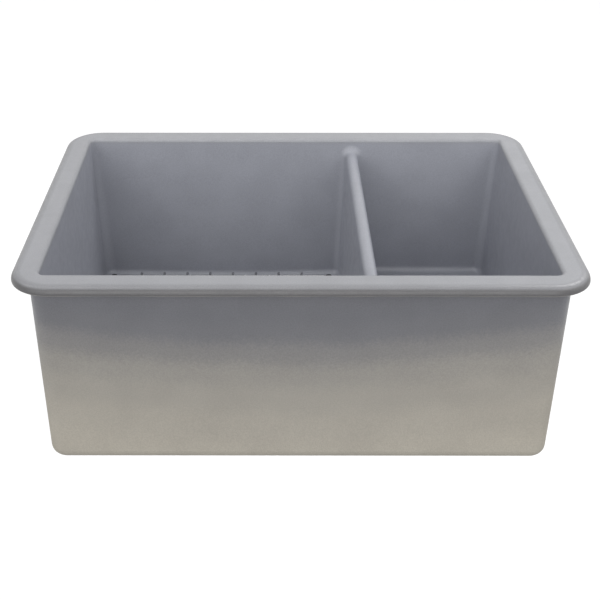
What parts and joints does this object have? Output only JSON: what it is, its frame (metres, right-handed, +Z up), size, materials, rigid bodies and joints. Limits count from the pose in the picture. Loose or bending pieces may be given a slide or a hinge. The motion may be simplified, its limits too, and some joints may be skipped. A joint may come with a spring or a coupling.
{
  "type": "double bowl undermount kitchen sink",
  "caption": "Low-divide undermount kitchen sink in thick glazed ceramic, with a large and a small bowl, a wire bottom grid and lift-out basket strainers.",
  "frame": {"origin": "centre of the rim's top face, where the worktop's underside rests", "axes": "+X to the right along the sink's length, +Y to the back, +Z up"},
  "size_m": [0.686, 0.505, 0.392],
  "materials": {
    "ceramic": "matte grey glaze, fading to bare beige ware low on the outside",
    "wire_steel": "electropolished wire",
    "polished_steel": "satin pressed steel",
    "cast_brass": "cast, dull",
    "plated_brass": "bright plate",
    "black_rubber": "matte",
    "grey_rubber": "matte",
    "fibre": "pressed fibre",
    "white_plastic": "moulded"
  },
  "bodies": {
    "sink": {"sink_body": "ceramic", "large_strainer_body": "polished_steel", "large_flange_seal": "grey_rubber", "large_sink_gasket": "black_rubber", "large_friction_ring": "fibre", "large_locknut": "cast_brass", "large_coupling_nut": "plated_brass", "large_tailpiece_washer": "white_plastic", "large_tailpiece": "plated_brass", "small_strainer_body": "polished_steel", "small_flange_seal": "grey_rubber", "small_sink_gasket": "black_rubber", "small_friction_ring": "fibre", "small_locknut": "cast_brass", "small_coupling_nut": "plated_brass", "small_tailpiece_washer": "white_plastic", "small_tailpiece": "plated_brass"},
    "grid": {"grid_frame": "wire_steel", "grid_cross_wires": "wire_steel", "grid_long_wires": "wire_steel", "grid_drain_ring": "wire_steel", "grid_feet": "black_rubber", "grid_bumpers": "black_rubber"},
    "large_basket_unit": {"large_basket": "polished_steel"},
    "large_stopper_unit": {"large_basket_post": "polished_steel", "large_stopper": "black_rubber", "large_stopper_nut": "polished_steel"},
    "small_basket_unit": {"small_basket": "polished_steel"},
    "small_stopper_unit": {"small_basket_post": "polished_steel", "small_stopper": "black_rubber", "small_stopper_nut": "polished_steel"}
  },
  "joints": [
    {"name": "grid_lift", "type": "slide", "parent": "sink", "child": "grid", "axis": [0, 0, 1], "range_m": [0, 0.3]},
    {"name": "large_basket_lift", "type": "slide", "parent": "sink", "child": "large_basket_unit", "axis": [0, 0, 1], "range_m": [0, 0.3]},
    {"name": "large_stopper_lift", "type": "slide", "parent": "large_basket_unit", "child": "large_stopper_unit", "axis": [0, 0, 1], "range_m": [0, 0.008]},
    {"name": "small_basket_lift", "type": "slide", "parent": "sink", "child": "small_basket_unit", "axis": [0, 0, 1], "range_m": [0, 0.3]},
    {"name": "small_stopper_lift", "type": "slide", "parent": "small_basket_unit", "child": "small_stopper_unit", "axis": [0, 0, 1], "range_m": [0, 0.008]}
  ]
}
